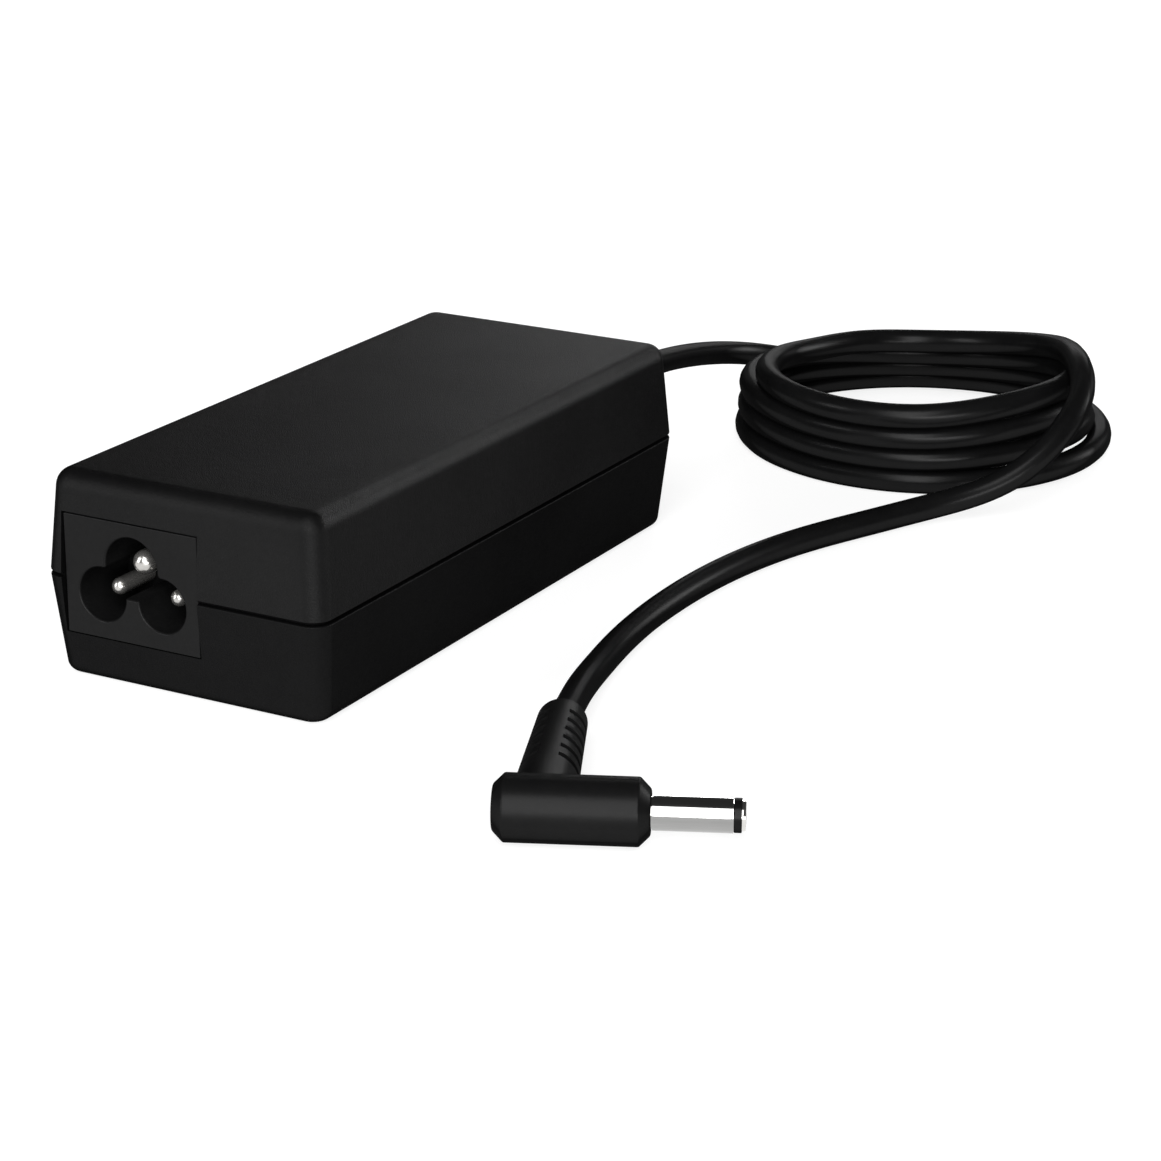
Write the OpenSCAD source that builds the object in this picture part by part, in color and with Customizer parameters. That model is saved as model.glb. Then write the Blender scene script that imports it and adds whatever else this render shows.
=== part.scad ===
// Laptop power adapter: brick, C6 inlet, converter board, DC cord and barrel plug.
// Origin at the bottom centre of the case, +Z up, +Y towards the DC cord.

/* [Case] */
// Width of the case at the parting plane
case_w = 46; // [45:0.5:60]
// Length of the case at the parting plane
case_l = 103.4; // [100:0.2:125]
// Height of the whole case
case_h = 30; // [29:0.5:36]
// Height of the parting plane above the base
part_z = 15; // [14.5:0.25:17]
// Wall thickness of both halves
wall = 2.2; // [1.6:0.1:2.6]
// Plan radius of the four upright corners
corner_r = 3; // [2.8:0.1:5]
// How far each side leans in from the parting plane to the top
top_draft = 0.9; // [0.5:0.1:2]
// How far each side leans in from the parting plane to the base
base_draft = 1.2; // [0.5:0.1:2]
// Rounding of the top edge
top_round = 2.8; // [1.5:0.1:3]
// Rounding of the base edge
base_round = 1.8; // [1:0.1:2.6]
// Width of the shadow groove along the parting line
groove_w = 0.5; // [0.3:0.05:0.8]
// Depth of the shadow groove
groove_d = 0.5; // [0.3:0.05:0.8]
// Thickness of the tongue that lines the two halves up
tongue_t = 0.8; // [0.5:0.05:1]
// Height of the tongue above the parting plane
tongue_h = 1.4; // [0.8:0.1:2]

/* [AC inlet] */
// Width of the inlet block
inlet_w = 22.2; // [20.4:0.1:26]
// Height of the inlet block
inlet_h = 17.3; // [16.8:0.1:19]
// Depth of the inlet block from its face
inlet_depth = 16; // [14:0.5:20]
// Distance of the block from the side of the case nearest to it
inlet_margin = 3.7; // [3.5:0.1:8]
// How far the face stands back from the parting edge
inlet_setback = 0.6; // [0:0.1:1.5]
// Spacing of the line and neutral pins
pin_pitch = 10; // [9:0.1:11]
// Height of the line and neutral pins above the block's underside
pin_rise = 6.4; // [5:0.1:7]
// Rise of the earth pin over the line and neutral pins
earth_rise = 4.6; // [4:0.1:5.2]
// Radius of the line and neutral lobes
lobe_r = 3.9; // [3.2:0.05:4.2]
// Radius of the earth lobe
earth_lobe_r = 4.35; // [3.6:0.05:4.6]
// Depth of the cavity
cavity_depth = 11; // [9:0.5:12]
// Diameter of the line and neutral pins
pin_d = 2.4; // [2:0.1:3]
// Diameter of the earth pin
earth_pin_d = 3.5; // [2.4:0.1:4]
// Setback of the line and neutral tips from the face
pin_setback = 3; // [1:0.1:5]
// Setback of the earth tip from the face
earth_setback = 1.8; // [0.5:0.1:4]
// Length of each solder tail behind the block
tail_l = 2.2; // [1:0.1:4]

/* [Circuit board] */
// Thickness of the board
board_t = 1.6; // [1:0.1:2]
// Height of the board's underside above the base
board_z = 5; // [4:0.1:5.4]
// Gap between the board's edge and the wall
board_gap = 0.6; // [0.3:0.1:1.5]
// Diameter of the bosses under the board
boss_d = 5; // [4:0.1:7]
// Distance of the bosses from the board's edges
boss_inset = 3.4; // [3:0.1:6]
// Thickness of the heat spreader
spreader_t = 0.8; // [0.5:0.1:1.2]
// Thickness of the insulating sheet on the floor
sheet_t = 0.4; // [0.2:0.1:0.8]

/* [Components] */
// Diameter of the bulk capacitor
bulk_d = 16; // [12:0.5:17]
// Outer diameter of the choke
choke_d = 13; // [10:0.5:14]
// Height of the choke
choke_h = 8; // [5:0.5:12]
// Length of the transformer core across the case
core_w = 24; // [20:0.5:25]
// Width of the transformer core along the case
core_l = 13; // [9:0.5:14]
// Gap between the transformer core and the heat spreader
core_gap = 2.2; // [1:0.1:4]
// Thickness of the core's limbs
core_limb = 4; // [2.5:0.25:4.5]
// Height of the output capacitors
out_cap_h = 15; // [10:0.5:17]
// Thickness of the two heat sinks
sink_t = 1.6; // [1:0.1:2]
// Gap between the heat sinks and the heat spreader
sink_gap = 3.2; // [1.5:0.1:6]
// Length of the primary heat sink
primary_sink_l = 22; // [14:0.5:23]
// Length of the secondary heat sink
secondary_sink_l = 15; // [11:0.5:16]

/* [DC cord] */
// Diameter of the cord
cord_d = 4.2; // [3.6:0.1:4.3]
// Length of the strain relief outside the case
relief_l = 16; // [12:1:18]
// Diameter of the strain relief at the case
relief_d = 8.6; // [7.6:0.1:10]
// Diameter of the strain relief at its free end
relief_tip_d = 6.2; // [5.4:0.1:7]
// Loops in the coil
loops = 4; // [2:1:6]
// Radius of the coil's lowest loop across the case
coil_r = 29.6; // [26:0.2:34]
// Radius of the coil's lowest loop along its lean
coil_r_lean = 31.4; // [28:0.2:36]
// Spacing of one turn from the next, centre to centre
coil_step = 5; // [4.8:0.05:5.5]
// How far each turn moves along the lean
coil_lean = 2.3; // [1:0.1:3]
// How much smaller each turn is than the last
coil_shrink = 0.75; // [0:0.05:1]

/* [DC plug] */
// Diameter of the plug body
plug_d = 8.7; // [8:0.1:11]
// Length of the plug body
plug_l = 19.6; // [17:0.1:24]
// Chamfer on both ends of the plug body
plug_chamfer = 1.4; // [0.5:0.1:1.8]
// Outer diameter of the barrel
barrel_d = 4.5; // [4.4:0.1:5.5]
// Exposed length of the barrel with its tip
barrel_l = 11.7; // [9.5:0.1:13]
// Diameter of the hole in the barrel's tip
barrel_bore_d = 3; // [2.4:0.1:3.1]
// Diameter of the centre pin
centre_pin_d = 0.8; // [0.6:0.1:1.2]
// Length of the tapered boot beyond the plug body
boot_l = 26.5; // [23:0.5:32]
// Diameter of the boot at the plug body
boot_d = 8.4; // [7.2:0.1:8.5]
// Diameter of the boot at the cord
boot_tip_d = 6.8; // [5.8:0.1:7]
// How far the boot droops below level, in degrees
boot_droop = 1.5; // [0:0.5:2]
// Slots along each side of the boot
boot_slots = 6; // [3:1:7]

/* [Hidden] */
$fn = 64;
fit = 0.2;
hull_fn = 32;

// Levels inside the case
board_top = board_z + board_t;
ceiling_z = case_h - wall;
spreader_top = ceiling_z - fit;
spreader_under = spreader_top - spreader_t;

// Half width and half length of the inner wall at a height
function lean_at(z) = z < part_z ? base_draft * (part_z - z) / part_z
                                 : top_draft * (z - part_z) / (case_h - part_z);
function inner_x(z) = case_w / 2 - lean_at(z) - wall;
function inner_y(z) = case_l / 2 - lean_at(z) - wall;

// Board outline
board_half_w = inner_x(board_z) - board_gap;
board_half_l = inner_y(board_z) - board_gap;
boss_x = board_half_w - boss_inset;
boss_y = board_half_l - boss_inset;

// Inlet block
face_y = -case_l / 2 + inlet_setback;
inlet_x = -case_w / 2 + inlet_margin + inlet_w / 2;
inlet_z0 = board_top + fit;
pin_z = inlet_z0 + pin_rise;
earth_z = pin_z + earth_rise;
floor_y = face_y + cavity_depth;
inlet_back_y = face_y + inlet_depth;

// Clearances
pin_fit = 0.05;
sleeve_fit = 0.03;
contact_gap = 0.05;

// Pins and barrel are thinner where they are held, from a short way in front of their seat
shoulder = 0.2;
shank_step = 0.4;

// Solder tails of the inlet's pins
tail_d = 1.4;
tail_out = 0.8;
tail_y = inlet_back_y + tail_l - tail_d / 2;

// Heat spreader's extent
spreader_half_w = inner_x(case_h) - 1.7;
spreader_y0 = inlet_back_y + 4;
spreader_y1 = board_half_l - 4;

// Sizes of the smaller components
stop_w = 1.3;
stop_t = 1.5;
fuse_d = 5.6;
fuse_l = 14;
xcap_w = 12;
xcap_l = 6;
xcap_h = 11;
bridge_w = 13;
bridge_t = 4;
bridge_h = 10;
limb_d = 8;
disc_d = 8;
opto_w = 4.6;
opto_l = 6.5;
opto_h = 3.6;
package_w = 10;
package_t = 3.2;
tab_t = 1.2;
leg_d = 0.9;
leg_l = 3;

// Heights of the tall components under the spreader
core_h = spreader_under - board_top - core_gap;
sink_h = spreader_under - board_top - sink_gap;

// Both long sides of the board: what leans on the spreader's sides
row_gap = 0.9;
room_x = spreader_half_w - spreader_t;
sink_x = room_x - 0.5 - sink_t;
fuse_x = inlet_x + inlet_w / 2 + stop_w + 4 + fuse_d / 2;
choke_x = -room_x + 1.5 + choke_d / 2;
right_x = room_x - 1.1 - xcap_w / 2;
bulk_x = -room_x + row_gap + bulk_d / 2;
ycap_x = bulk_x + bulk_d / 2 + 5;
core_x = 0;

// Output capacitors share the width that the rectifier leaves
out_caps = 3;
out_cap_gap = 0.6;
out_caps_x0 = -sink_x + contact_gap + tab_t + package_t + 2.4;
out_caps_x1 = room_x - row_gap;
out_cap_d = (out_caps_x1 - out_caps_x0 - (out_caps - 1) * out_cap_gap) / out_caps;
out_cap_pitch = out_cap_d + out_cap_gap;
out_cap_x = out_caps_x0 + out_cap_d / 2;

// From the inlet towards the cord, each after the one before it
choke_y = tail_y + tail_d / 2 + 1.9 + choke_d / 2;
bulk_y0 = choke_y + choke_d / 2 + 1.5;
fuse_y = inlet_back_y - 5.4;
xcap_y = fuse_y + fuse_l / 2 + 4 + xcap_l / 2;
bridge_y = xcap_y + xcap_l / 2 + 2.5 + bridge_t / 2;
opto_y = bridge_y + bridge_t / 2 + 1.8 + opto_l / 2;
sink_y = bridge_y + bridge_t / 2 + 3 + primary_sink_l / 2;

// From the cord back towards the inlet; the bulk capacitor fills the rest
relief_collar_d = relief_d + 3.4;
relief_collar_t = 2;
relief_back_y = min([for (s = [-1, 1]) inner_y(part_z + s * relief_collar_d / 2)]) - fit - relief_collar_t;
lead_d = 1.6;
lead_pitch = 3;
lead_y = relief_back_y - 4.7;
out_cap_y = lead_y - lead_d / 2 - 2.7 - out_cap_d / 2;
rectifier_y = out_cap_y + 1.5;
core_y = out_cap_y - out_cap_d / 2 - 4.5 - core_l / 2;
ycap_y = core_y - core_l / 2 - 1.8 - disc_d / 2;
bulk_l = core_y - core_l / 2 - 3.5 - bulk_y0;

// Plug: where its body stands, and the stations along its barrel
plug_turn = 24.5;
plug_at = [65.46, -67.63, plug_d / 2];
plug_x0 = -6;
plug_x1 = plug_x0 + plug_l;
barrel_wall = 0.35;
contact_wall = 0.2;
ring_step = 0.4;
tip_step = 0.6;
contact_floor = 1;
pin_tip_back = 1.2;
ring_l = 1;
tip_l = 0.5;
barrel_x0 = plug_x1 - 3;
tip_x1 = plug_x1 + barrel_l;
ring_x1 = tip_x1 - tip_l;
barrel_x1 = ring_x1 - ring_l;
boot_web = 2.6;
boot_reach = plug_d / 2 + boot_l;
boot_skew = -0.5;
boot_turn = plug_turn + boot_skew;
boot_dir = [-sin(boot_turn) * cos(boot_droop), cos(boot_turn) * cos(boot_droop), -sin(boot_droop)];
boot_tip = plug_at + boot_dir * boot_reach;

// Coil of the cord
coil_centre = [38.4, 114.5];
lean_turn = -61.5;
lean_dir = [cos(lean_turn), sin(lean_turn)];
side_dir = [-sin(lean_turn), cos(lean_turn)];
coil_drift = 0.7;
coil_entry = 4.8;
coil_early = 0.02;
coil_tuck = 4.2;
coil_side_rise = 0.4;
coil_turns = loops + 0.25;
rings_per_loop = 24;
coil_run = [for (i = [0:coil_turns * rings_per_loop]) coil_at(i / rings_per_loop)];
coil_in_dir = unit(coil_at(0.01) - coil_at(0));
coil_out_dir = unit(coil_at(coil_turns) - coil_at(coil_turns - 0.01));
coil_in = coil_run[0] - cord_d * coil_in_dir;
coil_out = coil_run[len(coil_run) - 1] + cord_d * coil_out_dir;
coil_points = concat([coil_in], coil_run, [coil_out]);

// Free stretches of the cord; cord_z is the height of its centre line on the surface
cord_z = cord_d / 2;
lead_start = [0, case_l / 2 + relief_l, part_z];
lead_points = [
    [0, 77, 15], [-0.6, 87, 14.2], [-1.6, 97, 12.8], [-2.6, 107, 11], [-3, 116, 9.2],
    [-2.6, 125, 7.2], [-0.4, 133.4, 5.1], [4, 139, 3.3], [10, 142.2, 2.3]
];
tail_points = [
    [70.3, 106.2, 20.9], [73.9, 97.8, 18.6], [75, 90, 14], [72.6, 84.2, 9], [67.6, 80, 5],
    [62, 75.8, 2.7], [56.3, 69.2, cord_z], [52.6, 60.5, cord_z], [48.8, 51.8, cord_z], [45.8, 43, cord_z],
    [43.7, 33.5, cord_z], [42.5, 23.5, cord_z], [42.2, 13.5, cord_z], [42.6, 3.5, cord_z], [43.8, -6.5, cord_z],
    [45.6, -16, cord_z], [48, -25.5, 2.6], [50.4, -32.2, 3.2]
];

// Least gap between turns, and the cord's whole length, both along its centre line
least_gap = min([for (i = [0:len(coil_run) - 1], j = [i + rings_per_loop / 2:1:len(coil_run) - 1])
    norm(coil_run[i] - coil_run[j])]) - cord_d;
function run_length(pts) = len(pts) < 2 ? 0 : sum_steps(pts, 1);
function sum_steps(pts, i) = i >= len(pts) ? 0 : norm(pts[i] - pts[i - 1]) + sum_steps(pts, i + 1);
cord_length = run_length(concat([lead_start], lead_points, coil_points, tail_points, [boot_tip]));
echo(least_gap = least_gap, cord_length = cord_length);

// ---------- case ----------

// One half's outline, drawn in by an inset; dir is 1 for the top half and -1 for the base
module half_hull(inset, edge_r, height, dir) {
    draft = dir > 0 ? top_draft : base_draft;
    r_plan = max(corner_r - inset, 0.8);
    x0 = case_w / 2 - inset - r_plan;
    y0 = case_l / 2 - inset - r_plan;
    r_edge = max(edge_r - inset, 0.8);
    x1 = case_w / 2 - draft - inset - r_edge;
    y1 = case_l / 2 - draft - inset - r_edge;
    zc = height - inset - r_edge;
    translate([0, 0, part_z]) hull() {
        for (sx = [-1, 1], sy = [-1, 1]) {
            translate([sx * x0, sy * y0, dir > 0 ? 0 : -0.01])
                cylinder(h = 0.01, r = r_plan, $fn = hull_fn);
            translate([sx * x1, sy * y1, dir * zc]) sphere(r = r_edge, $fn = hull_fn);
        }
    }
}

// Rounded rectangle of the parting plane, drawn in by an inset
module parting_outline(inset) {
    r = max(corner_r - inset, 0.5);
    square_w = case_w - 2 * inset - 2 * r;
    square_l = case_l - 2 * inset - 2 * r;
    for (sx = [-1, 1], sy = [-1, 1])
        translate([sx * square_w / 2, sy * square_l / 2]) circle(r = r);
    square([square_w + 2 * r, square_l], center = true);
    square([square_w, square_l + 2 * r], center = true);
}

module parting_ring(inset_out, inset_in, z0, h) {
    translate([0, 0, z0]) linear_extrude(h) difference() {
        parting_outline(inset_out);
        parting_outline(inset_in);
    }
}

// Openings that both halves share: the inlet's window and the cord's hole
module end_openings() {
    translate([inlet_x - inlet_w / 2 - fit, -case_l / 2 - 1, inlet_z0 - fit])
        cube([inlet_w + 2 * fit, inlet_depth, inlet_h + 2 * fit]);
    translate([0, case_l / 2 - 2 * wall, part_z]) rotate([-90, 0, 0])
        cylinder(h = 3 * wall, d = relief_d + 2 * fit);
}

module top_shell() {
    color("#1c1c1d") difference() {
        half_hull(0, top_round, case_h - part_z, 1);
        half_hull(wall, top_round, case_h - part_z, 1);
        parting_ring(-1, groove_d, part_z - 1, 1 + groove_w / 2);
        parting_ring(wall - tongue_t - fit, wall + 1, part_z - 1, 1 + tongue_h + fit);
        end_openings();
    }
}

module bottom_shell() {
    color("#1a1a1b") {
        difference() {
            half_hull(0, base_round, part_z, -1);
            half_hull(wall, base_round, part_z, -1);
            parting_ring(-1, groove_d, part_z - groove_w / 2, 1);
            end_openings();
        }
        difference() {
            parting_ring(wall - tongue_t, wall, part_z - 1, 1 + tongue_h);
            end_openings();
        }
        for (sx = [-1, 1], sy = [-1, 1])
            translate([sx * boss_x, sy * boss_y, wall - 0.2])
                cylinder(h = board_z - wall + 0.2, d = boss_d);
    }
}

// ---------- AC inlet ----------

// A rod along Y with a domed front end
module rod_y(x, z, d, y0, y1) {
    translate([x, y0 + d / 2, z]) {
        sphere(d = d);
        rotate([-90, 0, 0]) cylinder(h = y1 - y0 - d / 2, d = d);
    }
}

module inlet_cavity() {
    translate([0, floor_y, 0]) rotate([90, 0, 0]) linear_extrude(cavity_depth + 1) {
        for (s = [-1, 1]) translate([inlet_x + s * pin_pitch / 2, pin_z]) circle(r = lobe_r);
        translate([inlet_x, earth_z]) circle(r = earth_lobe_r);
        translate([inlet_x - pin_pitch / 2, pin_z]) square([pin_pitch, lobe_r]);
    }
}

module inlet_block() {
    color("#202021") difference() {
        union() {
            translate([inlet_x - inlet_w / 2, face_y, inlet_z0])
                cube([inlet_w, inlet_depth, inlet_h]);
            translate([inlet_x - inlet_w / 2 + 3, -case_l / 2 + max(top_draft, base_draft) + wall + fit, inlet_z0])
                cube([inlet_w - 3 + stop_w, stop_t, inlet_h + stop_w]);
        }
        inlet_cavity();
        for (s = [-1, 1]) pin_hole(inlet_x + s * pin_pitch / 2, pin_z, pin_d);
        pin_hole(inlet_x, earth_z, earth_pin_d);
    }
}

module pin_hole(x, z, d) {
    translate([x, floor_y - 1, z]) rotate([-90, 0, 0])
        cylinder(h = inlet_depth - cavity_depth + 2, d = d - shank_step + 2 * pin_fit);
}

// Contact pin: domed rod, thinner shank through the block, and a tail through the board
module contact_pin(x, z, d, setback) {
    rod_y(x, z, d, face_y + setback, floor_y - shoulder);
    translate([x, floor_y - shoulder - 0.01, z]) rotate([-90, 0, 0])
        cylinder(h = tail_y - floor_y + shoulder + 0.01, d = d - shank_step);
    translate([x, tail_y, board_z - tail_out]) cylinder(h = z - board_z + tail_out, d = tail_d);
}

module line_pin() color("#c9cac8") contact_pin(inlet_x - pin_pitch / 2, pin_z, pin_d, pin_setback);

module neutral_pin() color("#c9cac8") contact_pin(inlet_x + pin_pitch / 2, pin_z, pin_d, pin_setback);

module earth_pin() color("#c9cac8") contact_pin(inlet_x, earth_z, earth_pin_d, earth_setback);

// ---------- board, sheet and spreader ----------

module circuit_board() {
    color("#1f5a34") difference() {
        translate([-board_half_w, -board_half_l, board_z])
            cube([2 * board_half_w, 2 * board_half_l, board_t]);
        for (s = [-1, 0, 1]) translate([inlet_x + s * pin_pitch / 2, tail_y, board_z - 1])
            cylinder(h = board_t + 2, d = tail_d + 2 * fit);
    }
}

module insulation_sheet() {
    half_l = boss_y - boss_d / 2 - board_gap;
    half_w = inner_x(0) - base_round;
    color("#e6e2d3") translate([-half_w, -half_l, wall]) cube([2 * half_w, 2 * half_l, sheet_t]);
}

module heat_spreader() {
    color("#b9bbbd") {
        translate([-spreader_half_w, spreader_y0, spreader_under])
            cube([2 * spreader_half_w, spreader_y1 - spreader_y0, spreader_t]);
        for (s = [-1, 1]) translate([s > 0 ? spreader_half_w - spreader_t : -spreader_half_w,
                                     spreader_y0, board_top])
            cube([spreader_t, spreader_y1 - spreader_y0, spreader_under - board_top + 0.01]);
    }
}

// ---------- components ----------

// A box standing on the board, placed by its centre
module on_board(x, y, w, l, h) {
    translate([x - w / 2, y - l / 2, board_top]) cube([w, l, h]);
}

module fuse() {
    cap_l = 4;
    translate([fuse_x, fuse_y - fuse_l / 2, board_top + fuse_d / 2]) rotate([-90, 0, 0]) {
        color("#cfd6d4") cylinder(h = fuse_l, d = fuse_d - 0.5);
        for (y = [0, fuse_l - cap_l]) translate([0, 0, y]) color("#b8b8b4") cylinder(h = cap_l, d = fuse_d);
    }
}

module x_capacitor() color("#c9a227") on_board(right_x, xcap_y, xcap_w, xcap_l, xcap_h);

module common_mode_choke() {
    color("#8a5a2b") translate([choke_x, choke_y, board_top]) difference() {
        cylinder(h = choke_h, d = choke_d);
        translate([0, 0, -1]) cylinder(h = choke_h + 2, d = choke_d * 0.42);
    }
}

module bridge_rectifier() {
    pin_gap = 3.4;
    stand_off = leg_l - 1;
    color("#161616") translate([0, 0, stand_off])
        on_board(right_x, bridge_y, bridge_w, bridge_t, bridge_h);
    color("#c0c0bc") for (i = [-1.5:1:1.5])
        translate([right_x + i * pin_gap, bridge_y, board_top]) cylinder(h = leg_l, d = leg_d);
}

// Lying can with a crimped groove near its sealed end
module bulk_capacitor() {
    groove_at = 2.4;
    groove_l = 0.8;
    color("#23242a") translate([bulk_x, bulk_y0, board_top + bulk_d / 2]) rotate([-90, 0, 0]) {
        cylinder(h = bulk_l - groove_at, d = bulk_d);
        translate([0, 0, bulk_l - groove_at - 0.01]) cylinder(h = groove_l + 0.02, d = bulk_d - 1.2);
        translate([0, 0, bulk_l - groove_at + groove_l]) cylinder(h = groove_at - groove_l, d = bulk_d);
    }
}

// Power package against a heat sink; face is +1 when the sink is on its +X side
module power_package(x, y, face) {
    lead_gap = 2.54;
    body_h = 8.6;
    tab_h = sink_h - leg_l + 0.5;
    translate([x, y, board_top]) {
        translate([face > 0 ? -tab_t : 0, -package_w / 2, leg_l]) cube([tab_t, package_w, tab_h]);
        translate([face > 0 ? -tab_t - package_t : tab_t - 0.01, -package_w / 2, leg_l])
            cube([package_t + 0.01, package_w, body_h]);
        for (i = [-1:1]) translate([-face * (tab_t + package_t / 2), i * lead_gap, 0])
            cylinder(h = leg_l + 0.5, d = leg_d);
    }
}

module heat_sink(x, y, l) color("#9fa2a5") translate([x, y - l / 2, board_top]) cube([sink_t, l, sink_h]);

module primary_heatsink() heat_sink(sink_x, sink_y, primary_sink_l);

module primary_transistor() color("#1b1b1c") power_package(sink_x - contact_gap, sink_y, 1);

module secondary_heatsink() heat_sink(-sink_x - sink_t, rectifier_y, secondary_sink_l);

module output_rectifier() color("#1b1b1c") power_package(-sink_x + contact_gap, rectifier_y, -1);

// E cores: an outer frame and a round centre limb
module transformer_core() {
    color("#3a3a3c") {
        difference() {
            on_board(core_x, core_y, core_w, core_l, core_h);
            translate([core_x - core_w / 2 + core_limb, core_y - core_l, board_top + core_limb])
                cube([core_w - 2 * core_limb, 2 * core_l, core_h - 2 * core_limb]);
        }
        translate([core_x, core_y, board_top + core_limb - 0.01])
            cylinder(h = core_h - 2 * core_limb + 0.02, d = limb_d);
    }
}

module transformer_winding() {
    h = core_h - 2 * core_limb - 2 * fit;
    color("#d9b648") translate([core_x, core_y, board_top + core_limb + fit]) difference() {
        cylinder(h = h, d = core_w - 2 * core_limb - 2 * fit);
        translate([0, 0, -1]) cylinder(h = h + 2, d = limb_d + 2 * fit);
    }
}

module y_capacitor() {
    disc_t = 3.6;
    wire_d = 0.7;
    wire_gap = 5;
    color("#2f6fb3") translate([ycap_x - disc_t / 2, ycap_y, board_top + disc_d / 2 + 1])
        rotate([0, 90, 0]) cylinder(h = disc_t, d = disc_d);
    color("#c0c0bc") for (s = [-1, 1]) translate([ycap_x, ycap_y + s * wire_gap / 2, board_top])
        cylinder(h = 3, d = wire_d);
}

module optocoupler() color("#ece9df") on_board(ycap_x, opto_y, opto_w, opto_l, opto_h);

module output_capacitors() {
    groove_at = 1.6;
    groove_l = 0.6;
    for (i = [0:out_caps - 1]) translate([out_cap_x + i * out_cap_pitch, out_cap_y, board_top]) {
        color("#1d2a4a") cylinder(h = out_cap_h - groove_at, d = out_cap_d);
        color("#1d2a4a") translate([0, 0, out_cap_h - groove_at])
            cylinder(h = groove_l, d = out_cap_d - 0.8);
        color("#c8c8c8") translate([0, 0, out_cap_h - groove_at + groove_l])
            cylinder(h = groove_at - groove_l, d = out_cap_d);
    }
}

// Two insulated leads that rise from the board and run into the strain relief
module output_leads() {
    for (s = [-1, 1]) color(s > 0 ? "#b02020" : "#202020") {
        translate([s * lead_pitch / 2, lead_y, board_top]) cylinder(h = part_z - board_top, d = lead_d);
        translate([s * lead_pitch / 2, lead_y, part_z]) sphere(d = lead_d);
        translate([s * lead_pitch / 2, lead_y, part_z]) rotate([-90, 0, 0])
            cylinder(h = relief_back_y - lead_y, d = lead_d);
    }
}

// ---------- DC cord ----------

// Flanged strain relief: collar inside the wall, neck through it, ribbed taper outside
module cord_strain_relief() {
    ribs = 5;
    rib_pitch = (relief_l - 3) / ribs;
    color("#191919") translate([0, relief_back_y, part_z]) rotate([-90, 0, 0]) {
        cylinder(h = relief_collar_t, d = relief_collar_d);
        cylinder(h = case_l / 2 - relief_back_y + 0.5, d = relief_d);
        translate([0, 0, case_l / 2 - relief_back_y]) {
            cylinder(h = relief_l, d1 = relief_d - 1.2, d2 = relief_tip_d - 0.6);
            for (i = [0:ribs - 1]) translate([0, 0, 1 + i * rib_pitch])
                cylinder(h = rib_pitch * 0.55,
                         d = relief_d - (relief_d - relief_tip_d) * (1 + i * rib_pitch) / relief_l);
            translate([0, 0, relief_l - 2]) cylinder(h = 2, d = relief_tip_d);
        }
    }
}

function unit(v) = v / norm(v);
function smooth(x) = let(c = min(max(x, 0), 1)) c * c * (3 - 2 * c);

// One ring of a tube: centre p, direction t, radius r, n corners
function ring(p, t, r, n) =
    let(side = unit(cross(t, [0, 0, 1])), up = cross(side, t))
    [for (i = [0:n - 1]) p + r * (cos(i * 360 / n) * side + sin(i * 360 / n) * up)];

// Direction of a route at point i, with given directions at its two ends
function route_dir(pts, i, t0, t1) =
    i == 0 ? t0 : i == len(pts) - 1 ? t1 : unit(unit(pts[i + 1] - pts[i]) + unit(pts[i] - pts[i - 1]));

module tube(pts, t0, t1, d, n) {
    m = len(pts);
    rings = [for (i = [0:m - 1]) each ring(pts[i], route_dir(pts, i, t0, t1), d / 2, n)];
    sides = [for (i = [0:m - 2], j = [0:n - 1])
        let(a = i * n + j, b = i * n + (j + 1) % n) each [[a, b, b + n], [a, b + n, a + n]]];
    start = [for (j = [1:n - 2]) [0, j + 1, j]];
    finish = [for (j = [1:n - 2]) [(m - 1) * n, (m - 1) * n + j, (m - 1) * n + j + 1]];
    polyhedron(points = rings, faces = concat(start, sides, finish));
}

// Layer that a point of the coil lies on: each climb takes half a turn from the back, the lower ones early
function layer(t, k = 1) = k > loops ? 0
    : smooth(2 * (t - k + coil_early * (loops - k))) + layer(t, k + 1);

// How far the last loop has slipped inwards and down, from its left side to the back
function tuck(t) = coil_tuck * smooth((t - coil_turns + 0.65) / 0.26)
                 * (1 - smooth((t - coil_turns + 0.38) / 0.13));

// Coil centre line after t turns, clockwise from above, starting at the back on the surface
function coil_at(t) =
    let(a = 360 * t, m = layer(t),
        spread = coil_entry * pow(1 - min(t, 1), 2.2) - tuck(t),
        inward = coil_lean * cos(a) + coil_drift * sin(a) + coil_shrink,
        step = coil_step + coil_side_rise * max(0, sin(a)),
        climb = sqrt(step * step - inward * inward),
        across = coil_r - coil_shrink * m + spread,
        along = coil_r_lean - coil_shrink * m + spread,
        plan = coil_centre + lean_dir * coil_lean * m - side_dir * coil_drift * m
             - lean_dir * cos(a) * along + side_dir * sin(a) * across)
    [plan.x, plan.y, cord_d / 2 + climb * m - 0.3 * tuck(t)];

module cord_lead() color("#1b1b1c")
    tube(concat([lead_start], lead_points, [coil_in]), [0, 1, 0], coil_in_dir, cord_d, 10);

module cord_coil() color("#1b1b1c")
    tube(coil_points, coil_in_dir, coil_out_dir, cord_d, 6);

module cord_tail() color("#1b1b1c")
    tube(concat([coil_out], tail_points, [boot_tip]), coil_out_dir, -boot_dir, cord_d, 10);

// ---------- DC plug ----------

module on_plug() translate(plug_at) rotate([0, 0, plug_turn]) children();

module rod_x(x0, x1, d) translate([x0, 0, 0]) rotate([0, 90, 0]) cylinder(h = x1 - x0, d = d);

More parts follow.
